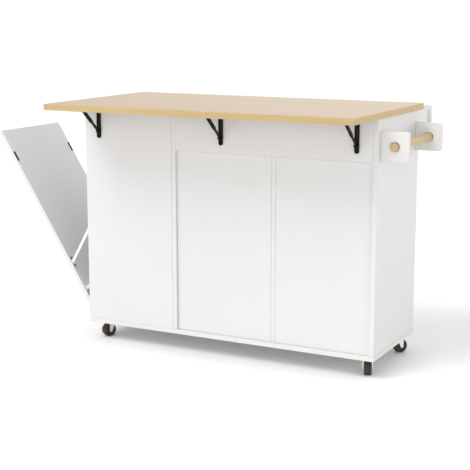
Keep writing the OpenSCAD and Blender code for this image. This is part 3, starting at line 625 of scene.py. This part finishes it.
# %% Helper: the separate solids of a part
def solid_boxes(node):
    """The (lowest, highest) corners of each separate solid in a construction part, in order."""
    bm = welded(node)
    waiting, boxes = set(bm.verts), []
    while waiting:
        found, border = [], [waiting.pop()]
        while border:
            vertex = border.pop()
            found.append(vertex.co.copy())
            for edge in vertex.link_edges:
                other = edge.other_vert(vertex)
                if other in waiting:
                    waiting.remove(other)
                    border.append(other)
        boxes.append((Vector(map(min, zip(*found))), Vector(map(max, zip(*found)))))
    bm.free()
    return sorted(boxes, key=lambda box: [round(value, 5) for value in box[0]])


pin_boxes = solid_boxes("shelf_pins")
print("the shelves lie on", len(pin_boxes), "pins")

# %% [markdown]
# ## Rows of holes for the shelf pins
# The shelves lie on pins, and the panels have rows of spare holes, 32 mm apart, so a shelf can be
# set higher or lower. The tree makes one upright row of pegs and sets it at the foot of each row
# of holes. The pegs are not shown: a Boolean modifier uses them to drill real holes.

# %% Geometry Nodes: rows of pegs
pegs, pegs_in, pegs_out = new_group(
    "rows of pegs", "GeometryNodeTree",
    [("Geometry", GEOMETRY, None), ("Count", WHOLE, 6), ("Spacing", FLOAT, 0.032),
     ("Radius", FLOAT, 0.0025), ("Length", FLOAT, 0.02), ("Material", MATERIAL, None)],
    [("Geometry", GEOMETRY)])
feet = add(pegs, "GeometryNodeMeshLine", {
    "Count": pegs_in.outputs["Count"],
    "Offset": xyz(pegs, 0.0, 0.0, pegs_in.outputs["Spacing"])}).outputs[0]
peg = add(pegs, "GeometryNodeMeshCylinder", {
    "Vertices": 16, "Radius": pegs_in.outputs["Radius"],
    "Depth": pegs_in.outputs["Length"]}).outputs[0]
lying = add(pegs, "GeometryNodeTransform", {
    "Geometry": peg, "Rotation": (0, math.pi / 2, 0)}).outputs[0]
row = add(pegs, "GeometryNodeInstanceOnPoints", {"Points": feet, "Instance": lying}).outputs[0]
rows = add(pegs, "GeometryNodeInstanceOnPoints", {
    "Points": pegs_in.outputs["Geometry"], "Instance": row}).outputs[0]
end_tree(pegs, pegs_in, pegs_out, rows)

# %% The pegs that drill each panel
HOLE_SPACING, HOLE_DEPTH = 32 * MM, 9 * MM
HOLES_A_ROW, ROW_FEET = 3, (-3.5, 1.5)    # feet in hole spacings above the shelf pins
SAME_FACE = 0.3 * MM

pin_top = max(high.z for low, high in pin_boxes)
pin_y = sorted({round((low.y + high.y) / 2, 4) for low, high in pin_boxes})
pin_faces = sorted({round(face, 4) for low, high in pin_boxes for face in (low.x, high.x)})
panels = {node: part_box(node) for node in ("end_panel", "storage_divider", "bin_partition")}
drills = {}
for node, (low, high) in panels.items():
    faces = [x for x in pin_faces if min(abs(x - low.x), abs(x - high.x)) < SAME_FACE]
    spots = [((x, y, pin_top + foot * HOLE_SPACING), (0, 0, 1))
             for x in faces for y in pin_y for foot in ROW_FEET]
    drills[node] = grown(node + " drill", pegs, spots, Count=HOLES_A_ROW, Spacing=HOLE_SPACING,
                         Length=2 * HOLE_DEPTH, Material=white_foil)
    print(node, "gets", HOLES_A_ROW * len(spots), "holes")

# %% [markdown]
# ## Boards, wood and metal in one table
# All parts go through the same steps, and only a few numbers differ, so a table is clearer than
# fifty blocks of code. Foil-wrapped board has a tight edge of less than a millimetre, the wooden
# top a softer one, and sheet steel only breaks its edge.

# %% The table of finishes
BAYS = ("middle", "end")
WHITE_BOARDS = [
    "base_board", "end_panel", "bin_partition", "storage_divider", "drawer_decks",
    "top_stretchers", "bin_back_panel", "bin_front_panel", "bin_bottom_rail", "back_rail",
    "back_panels", "shelves", "towel_boards", "bin_door", "bin_ledge",
    *(f"{bay}_{part}" for bay in BAYS for part in ("drawer_box", "drawer_front", "door_panel"))]
ZINC_PARTS = [
    "bin_hinge_frame_leaves", "bin_hinge_door_leaves", "door_hinge_frame_leaves",
    "runner_channels", "bin_stay_brackets", "bin_stay_arms", "bin_stay_studs", "shelf_pins",
    "bin_handle_screws", "caster_plates", *(f"caster_fork_{i}" for i in range(1, 5)),
    *(f"{bay}_{part}" for bay in BAYS for part in ("drawer_slides", "door_hinge_leaves"))]
BLACK_PARTS = [
    "bracket_wall_arms", "bracket_leaf_arms", "bracket_lower_links", "bracket_upper_links",
    "bracket_knee_rivets", "bracket_wall_rivets", "bracket_leaf_rivets", "bin_strike_plates",
    "bin_handle", *(f"{bay}_{part}_handle" for bay in BAYS for part in ("drawer", "door"))]
PLASTIC_PARTS = ["bin_catches", *(f"caster_wheel_{i}" for i in range(1, 5))]

# (parts, material, record slot, edge radius in mm, segments)
FINISHES = [
    (WHITE_BOARDS, white_foil, "white_board", 0.7, 2),
    (["worktop", "drop_leaf"], top_wood, "pale_wood", 1.6, 3),
    (["towel_bar"], bar_wood, "pale_wood", 1.5, 3),
    (BLACK_PARTS, black_paint, "black_metal", 0.35, 2),
    (PLASTIC_PARTS, black_plastic, "black_plastic", 0.5, 2),
    (ZINC_PARTS, zinc, "zinc_steel", 0.25, 2)]
print("finishes for", sum(len(row[0]) for row in FINISHES), "parts")

# %% Finishing every part
KNEE_RIVET_REACH = 3.7 * MM    # it passes right through the sides of the upper link


def lengthen_knee_rivets(mesh):
    """Moves the ends of each knee rivet out to its reach from its middle."""
    for low, high in solid_boxes("bracket_knee_rivets"):
        middle = (low.x + high.x) / 2
        for vertex in mesh.vertices:
            if low.x - MM < vertex.co.x < high.x + MM:
                vertex.co.x = middle + math.copysign(KNEE_RIVET_REACH, vertex.co.x - middle)


pieces = {}
for parts, material, slot, radius, segments in FINISHES:
    for node in parts:
        mesh = merged_copy(node, node + "_finish")
        if node == "bracket_knee_rivets":
            lengthen_knee_rivets(mesh)
        piece = rounded(node + "_finish", mesh, material, radius, segments, drills.get(node))
        pieces[node] = stands_for(piece, node, slot)
    print(material.name, "on", len(parts), "parts")

for drill in drills.values():
    bpy.data.objects.remove(drill)

# %% [markdown]
# ## Raw board, cut steel and painted shade in the seams
# Three small things tell real furniture from a white block: bare board inside a drilled hole, a
# dull cut edge on plated steel, and a thin dark line where two boards meet, which is painted shade
# with a little dust. The materials show each where a face attribute says so. Faces are told apart
# here by their place and direction.

# %% Marking drilled holes and cut edges
bar_low, bar_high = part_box("towel_bar")
bar_middle = (bar_low + bar_high) / 2
HOLE_RIM = 2.4 * MM
BAR_HOLE_REACH = (bar_high.z - bar_low.z) / 2 + HOLE_RIM
PIN_HOLE_REACH, ROWS_REACH = 3 * MM, 5 * HOLE_SPACING
NOT_FLAT, SIDE_ON = 0.95, 0.6    # how far a face may point along the hole or out of the sheet


def in_bar_hole(face):
    x, y, z = face.center
    from_bar = math.hypot(x - bar_middle.x, z - bar_middle.z)
    return from_bar < BAR_HOLE_REACH and abs(face.normal.y) < NOT_FLAT


def in_pin_hole(face):
    x, y, z = face.center
    near_row = min(abs(y - pin) for pin in pin_y) < PIN_HOLE_REACH
    return near_row and abs(z - pin_top) < ROWS_REACH and abs(face.normal.x) < SIDE_ON


mark_faces(pieces["towel_boards"].data, "raw", in_bar_hole)
for node in panels:
    mark_faces(pieces[node].data, "raw", in_pin_hole)
mark_faces(pieces["bin_stay_arms"].data, "raw", lambda face: abs(face.normal.y) < SIDE_ON)
print("raw board shows in the holes of", 1 + len(panels), "parts; the stay arms have cut edges")

# %% Marking the seams between fixed boards
SEAM_REACH, DOWNWARDS = 1.2 * MM, -0.3
FIXED_BOARDS = WHITE_BOARDS[:WHITE_BOARDS.index("bin_door")]
board_boxes = {node: solid_boxes(node) for node in FIXED_BOARDS}


def near_box(place, box):
    return all(a - SEAM_REACH < v < b + SEAM_REACH for a, v, b in zip(box[0], place, box[1]))


for node in FIXED_BOARDS:
    mesh = pieces[node].data
    others = [box for other in FIXED_BOARDS if other != node for box in board_boxes[other]]
    on_edge = [mark.value > 0.5 for mark in mesh.attributes["edge"].data]

    def in_seam(face):
        """Edge faces beside another board get painted shade; so does the rail's lower edge, as a
        painted shadow line where it hangs over the back panels.
        """
        return on_edge[face.index] and (any(near_box(face.center, box) for box in others)
                                        or node == "back_rail" and face.normal.z < DOWNWARDS)

    mark_faces(mesh, "seam", in_seam)
print("seams marked on", len(FIXED_BOARDS), "boards")

# %% [markdown]
# ## Screw heads and rivet heads
# A pan head screw is a low dome with a cross pressed into it, and a rivet is the same dome
# without the cross. The cross is a real cut, made once before the dome is copied, so it costs
# little and shades well close up. Each head gets its own random turn, as hands leave them. The
# construction parts already have flat heads in the right places, so their boxes say where the
# domes go: at the ends of the side that differs from the other two. The screws of the stay
# brackets are found by their round faces, and those of plates and handles from the part's size.

# %% Geometry Nodes: fastener heads
LONG_SHARE, SHORT_SHARE, CUT_SHARE = 1.15, 0.27, 1.4    # the cross, in head radii and heights
heads, heads_in, heads_out = new_group(
    "fastener heads", "GeometryNodeTree",
    [("Geometry", GEOMETRY, None), ("Radius", FLOAT, 0.0035), ("Height", FLOAT, 0.001),
     ("Cross", SWITCH, True), ("Seed", WHOLE, 1), ("Material", MATERIAL, None)],
    [("Geometry", GEOMETRY)])
radius, height = heads_in.outputs["Radius"], heads_in.outputs["Height"]
ball = add(heads, "GeometryNodeMeshUVSphere", {"Segments": 24, "Rings": 12, "Radius": 1.0})
dome = add(heads, "GeometryNodeTransform", {
    "Geometry": ball.outputs[0], "Scale": xyz(heads, radius, radius, height)}).outputs[0]
long_side = math_node(heads, "MULTIPLY", radius, LONG_SHARE)
short_side = math_node(heads, "MULTIPLY", radius, SHORT_SHARE)
cut_height = math_node(heads, "MULTIPLY", height, CUT_SHARE)
lift = xyz(heads, 0.0, 0.0, height)
crossed = dome
for sides in ((long_side, short_side), (short_side, long_side)):
    blade = add(heads, "GeometryNodeMeshCube", {"Size": xyz(heads, *sides, cut_height)})
    lifted = add(heads, "GeometryNodeTransform", {
        "Geometry": blade.outputs[0], "Translation": lift}).outputs[0]
    crossed = add(heads, "GeometryNodeMeshBoolean", {"Mesh 1": crossed, "Mesh 2": lifted},
                  operation="DIFFERENCE").outputs[0]
head = add(heads, "GeometryNodeSwitch", {
    "Switch": heads_in.outputs["Cross"], "False": dome, "True": crossed},
    input_type="GEOMETRY").outputs[0]
spin = add(heads, "FunctionNodeRandomValue", {
    2: 0.0, 3: math.tau, 8: heads_in.outputs["Seed"]}).outputs[1]
end_tree(heads, heads_in, heads_out,
         set_on_points(heads, heads_in.outputs["Geometry"], head, spin))

# %% Helpers: where the heads sit
HANDLE_POSTS = 96 * MM    # between the two posts of a handle
SAME_WAY = 0.9            # how closely two directions have to agree
DISC_SHARES = 0.9, 1.02   # a disc made of straight sides is a little smaller than a circle
joints = {joint["name"]: joint for joint in behaviour["joints"]}


def head_ends(box):
    """The middle and outward axis of both ends of a turned part, from its box."""
    low, high = box
    size, middle = high - low, (low + high) / 2
    k = max(range(3), key=lambda k: abs(size[k] - size[k - 1]) + abs(size[k] - size[k - 2]))
    for sign in (-1, 1):
        place, axis = middle.copy(), Vector((0, 0, 0))
        place[k] += sign * size[k] / 2
        axis[k] = sign
        yield place, axis


def faced(node, directions, lift=0.0):
    """The ends of a part's solids that face one of the given directions, lifted outwards."""
    return [(place + axis * lift, axis)
            for box in solid_boxes(node) for place, axis in head_ends(box)
            if any(axis.dot(Vector(direction)) > SAME_WAY for direction in directions)]


def disc_tops(node, radius):
    """The middle and outward axis of every flat round face of about this radius."""
    least, most = (share * math.pi * radius ** 2 for share in DISC_SHARES)
    return [(face.center.copy(), face.normal.copy())
            for face in merged_copy(node, "discs").polygons if least < face.area < most]


def wheel_ends(number, reach):
    """The two points at a distance along a wheel's axle from its middle, with outward axes."""
    joint = joints[f"caster_roll_{number}"]
    axle = Vector(joint["axis"])
    return [(Vector(joint["pos_m"]) + axle * reach * sign, axle * sign) for sign in (-1, 1)]


def handle_screws(handle, upright, face_y):
    """Two screws behind a handle's posts, on the inner face of its board."""
    low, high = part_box(handle)
    middle = (low + high) / 2
    offset = Vector((0, 0, HANDLE_POSTS / 2)) if upright else Vector((HANDLE_POSTS / 2, 0, 0))
    return [(Vector((middle.x, face_y, middle.z)) + offset * sign, Vector((0, -1, 0)))
            for sign in (-1, 1)]


# %% The table of heads
SIDEWAYS, OUT, DOWN = [(-1, 0, 0), (1, 0, 0)], [(0, -1, 0)], [(0, 0, -1)]
BLACK, PLATED = ("black_metal", black_paint), ("zinc_steel", zinc)
# Radius and height of each kind of head
RIVET, KNEE_RIVET, AXLE = (3.9 * MM, 1.0 * MM), (3.9 * MM, 0.9 * MM), (4.4 * MM, 0.9 * MM)
BRACKET_SCREW, STAY_SCREW = (3.5 * MM, 0.9 * MM), (4.2 * MM, 1.0 * MM)
PLATE_SCREW, HANDLE_SCREW = (3.7 * MM, 0.9 * MM), (4.2 * MM, 1.8 * MM)
KNEE_LIFT, AXLE_TIP, STAY_DISC, DRAWER_BOARD = 1.6 * MM, 19 * MM, 3.5 * MM, 12 * MM
PLATE_INSET = Vector((7, 7, 0)) * MM    # from a caster plate's corner to its screw

plate_screws = []
for low, high in solid_boxes("caster_plates"):
    middle, reach = (low + high) / 2, (high - low) / 2 - PLATE_INSET
    plate_screws += [(Vector((middle.x + i * reach.x, middle.y + j * reach.y, low.z)),
                      Vector((0, 0, -1))) for i in (-1, 1) for j in (-1, 1)]

# (name, spots, body, record slot and material, head size, has a cross)
HEADS = [
    ("wall_bracket_rivet_heads", faced("bracket_wall_rivets", SIDEWAYS), "cabinet", BLACK,
     RIVET, False),
    ("leaf_bracket_rivet_heads", faced("bracket_leaf_rivets", SIDEWAYS), "leaf", BLACK,
     RIVET, False),
    ("knee_rivet_heads", faced("bracket_knee_rivets", SIDEWAYS, KNEE_LIFT), "lower_links", BLACK,
     KNEE_RIVET, False),
    ("wall_bracket_screw_heads", faced("bracket_wall_rivets", OUT), "cabinet", BLACK,
     BRACKET_SCREW, True),
    ("leaf_bracket_screw_heads", faced("bracket_leaf_rivets", DOWN), "leaf", BLACK,
     BRACKET_SCREW, True),
    ("stay_bracket_screw_heads", disc_tops("bin_stay_brackets", STAY_DISC), "bin", BLACK,
     STAY_SCREW, True),
    ("caster_screw_heads", plate_screws, "cabinet", PLATED, PLATE_SCREW, True)]
for i in range(1, 5):
    HEADS.append((f"axle_heads_{i}", wheel_ends(i, AXLE_TIP), f"fork_{i}", PLATED, AXLE, False))
for bay in BAYS:
    drawer_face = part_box(f"{bay}_drawer_box")[1].y - DRAWER_BOARD
    door_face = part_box(f"{bay}_door_panel")[0].y
    HEADS += [
        (f"{bay}_drawer_screw_heads", handle_screws(f"{bay}_drawer_handle", False, drawer_face),
         f"{bay}_drawer", PLATED, HANDLE_SCREW, True),
        (f"{bay}_door_screw_heads", handle_screws(f"{bay}_door_handle", True, door_face),
         f"{bay}_door", PLATED, HANDLE_SCREW, True)]
print(len(HEADS), "groups of heads")

# %% Screws and rivets in place
def ride_along(piece, body, slot):
    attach(piece, body)
    return piece


for seed, (name, spots, body, (slot, material), size, cross) in enumerate(HEADS):
    piece = grown(name, heads, spots, Radius=size[0], Height=size[1], Cross=cross, Seed=seed,
                  Material=material)
    ride_along(piece, body, slot)
    print(name + ":", len(spots))

# %% [markdown]
# ## Ribs in the wheels
# Moulded wheels are hollowed to save plastic, and thin ribs join the hub to the rim. The tree
# lays a few bars round a ring, each turned to point outwards, and sets the ring on both faces of
# the wheel. The number of ribs and their sizes are inputs.

# %% Geometry Nodes: wheel ribs
ribs, ribs_in, ribs_out = new_group(
    "wheel ribs", "GeometryNodeTree",
    [("Geometry", GEOMETRY, None), ("Count", WHOLE, 6), ("Inner", FLOAT, 0.008),
     ("Outer", FLOAT, 0.018), ("Thickness", FLOAT, 0.0015), ("Depth", FLOAT, 0.0014),
     ("Material", MATERIAL, None)],
    [("Geometry", GEOMETRY)])
inner, outer, count = (ribs_in.outputs[name] for name in ("Inner", "Outer", "Count"))
middle = math_node(ribs, "MULTIPLY", math_node(ribs, "ADD", inner, outer), 0.5)
length = math_node(ribs, "SUBTRACT", outer, inner)
bar = add(ribs, "GeometryNodeMeshCube", {
    "Size": xyz(ribs, length, ribs_in.outputs["Thickness"], ribs_in.outputs["Depth"])})
ring = add(ribs, "GeometryNodeMeshCircle", {"Vertices": count, "Radius": middle})
step = math_node(ribs, "DIVIDE", math.tau, count)
index = add(ribs, "GeometryNodeInputIndex").outputs[0]
star = add(ribs, "GeometryNodeInstanceOnPoints", {
    "Points": ring.outputs[0], "Instance": bar.outputs[0],
    "Rotation": about_z(ribs, math_node(ribs, "MULTIPLY", index, step))}).outputs[0]
end_tree(ribs, ribs_in, ribs_out,
         set_on_points(ribs, ribs_in.outputs["Geometry"], star))

# %% Ribs in place
RIB_PLACE, RIB_COUNT = 12.6 * MM, 6
for i in range(1, 5):
    piece = grown(f"wheel_ribs_{i}", ribs, wheel_ends(i, RIB_PLACE), Count=RIB_COUNT,
                  Inner=7.5 * MM, Outer=18.2 * MM, Thickness=1.5 * MM, Depth=1.5 * MM,
                  Material=black_plastic)
    ride_along(piece, f"wheel_{i}", "black_plastic")
print("ribs in 4 wheels")

# %% [markdown]
# ## The studio
# The photograph has a pure white ground, a dark line of shadow under the cabinet and one soft
# shadow to the right. A product studio gets that with a bright ceiling panel, low light panels
# round the floor, which reach in under the leaf, and a wide key light. The sky shader below is
# such a ring of panels: its level depends on how high a direction points, in three bands, and on
# which side it points to. Seen straight from the camera the sky is plain white, which the Light
# Path node allows without changing the light it gives.

# %% Floor
FLOOR_REACH, FLOOR_LEVEL, FLOOR_ROUGHNESS, FLOOR_SHINE = 30.0, 0.93, 0.9, 0.1
floor_mesh = bpy.data.meshes.new("floor")
corners = [(i * FLOOR_REACH, j * FLOOR_REACH, 0) for i, j in ((-1, -1), (1, -1), (1, 1), (-1, 1))]
floor_mesh.from_pydata(corners, [], [(0, 1, 2, 3)])
floor = bpy.data.objects.new("floor", floor_mesh)
scene.collection.objects.link(floor)
floor_paint, tree, shader, coords = new_material("floor paint")
shader.inputs["Base Color"].default_value = grey(FLOOR_LEVEL)
shader.inputs["Roughness"].default_value = FLOOR_ROUGHNESS
shader.inputs["Specular IOR Level"].default_value = FLOOR_SHINE
floor_mesh.materials.append(floor_paint)
floor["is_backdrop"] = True
print("floor of", 2 * FLOOR_REACH, "metres")

# %% Sky
CEILING_LEVEL, SEEN_LEVEL = 0.95, 1.1
# Levels towards -Y, +Y, -X and +X
LOW_PANELS = (2.18, 2.55, 0.10, 1.42)
MIDDLE_PANELS = (1.05, 1.05, 0.30, 0.50)
# Heights of the direction between which one ring of panels gives way to the next
LOW_TO_MIDDLE, MIDDLE_TO_CEILING = (0.15, 0.45), (0.6, 0.9)
JUST_OVER_ONE = 1.0001    # straight up, it keeps a share from being divided by nothing
world = bpy.data.worlds.new("sky")
scene.world = world
world.use_nodes = True
tree = world.node_tree
sky = tree.nodes["Background"]
sky.inputs["Color"].default_value = (1, 1, 1, 1)
direction = add(tree, "ShaderNodeTexCoord").outputs["Generated"]
x, y, z = add(tree, "ShaderNodeSeparateXYZ", {0: direction}).outputs


def band(start, end):
    """Rises smoothly from 0 to 1 between two heights of the direction."""
    return add(tree, "ShaderNodeMapRange", {0: z, 1: start, 2: end},
               interpolation_type="SMOOTHSTEP").outputs[0]


def panels_around(levels):
    """A level that turns smoothly through the four given sides."""
    flat = math_node(tree, "SUBTRACT", JUST_OVER_ONE, math_node(tree, "MULTIPLY", z, z))
    total = 0.0
    for side, sign, level in zip((y, y, x, x), (-1, 1, -1, 1), levels):
        facing = math_node(tree, "MAXIMUM", math_node(tree, "MULTIPLY", side, sign), 0.0)
        share = math_node(tree, "DIVIDE", math_node(tree, "MULTIPLY", facing, facing), flat)
        total = math_node(tree, "MULTIPLY_ADD", share, level, total)
    return total


above_low, above_middle = band(*LOW_TO_MIDDLE), band(*MIDDLE_TO_CEILING)
level = math_node(tree, "MULTIPLY", panels_around(LOW_PANELS),
                  math_node(tree, "SUBTRACT", 1.0, above_low))
in_middle = math_node(tree, "SUBTRACT", above_low, above_middle)
level = math_node(tree, "MULTIPLY_ADD", panels_around(MIDDLE_PANELS), in_middle, level)
level = math_node(tree, "MULTIPLY_ADD", above_middle, CEILING_LEVEL, level)
seen = add(tree, "ShaderNodeLightPath").outputs["Is Camera Ray"]
level = add(tree, "ShaderNodeMix", {0: seen, 2: level, 3: SEEN_LEVEL},
            data_type="FLOAT").outputs[0]
tree.links.new(level, sky.inputs["Strength"])
print("sky with", len(tree.nodes), "nodes")

# %% Key light
KEY_TURN, KEY_HEIGHT = math.radians(32), math.radians(52)    # turned from -Y towards -X
KEY_SOFTNESS, KEY_STRENGTH = math.radians(30), 1.28
key = bpy.data.lights.new("key light", "SUN")
key.energy, key.angle = KEY_STRENGTH, KEY_SOFTNESS
key_holder = bpy.data.objects.new("key light", key)
towards_key = Vector((-math.sin(KEY_TURN) * math.cos(KEY_HEIGHT),
                      -math.cos(KEY_TURN) * math.cos(KEY_HEIGHT), math.sin(KEY_HEIGHT)))
key_holder.rotation_euler = towards_key.to_track_quat("Z", "Y").to_euler()
scene.collection.objects.link(key_holder)
scene.view_settings.view_transform = "Standard"
print("the key light stands towards", [round(v, 2) for v in towards_key])

# %% [markdown]
# ## Sizes
# The last cell sets the construction box and the dressed model's box side by side and prints how
# far the dressed model reaches past the construction box on each side, so it is easy to see
# whether anything grew.

# %% Sizes and finish
low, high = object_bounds()
sizes = {"cad": [list(cad_low), list(cad_high)], "visual": [list(low), list(high)]}
print("grown by (mm):", [round((b - a) * 1000, 3) for a, b in zip(cad_high, high)],
      [round((a - b) * 1000, 3) for a, b in zip(cad_low, low)])
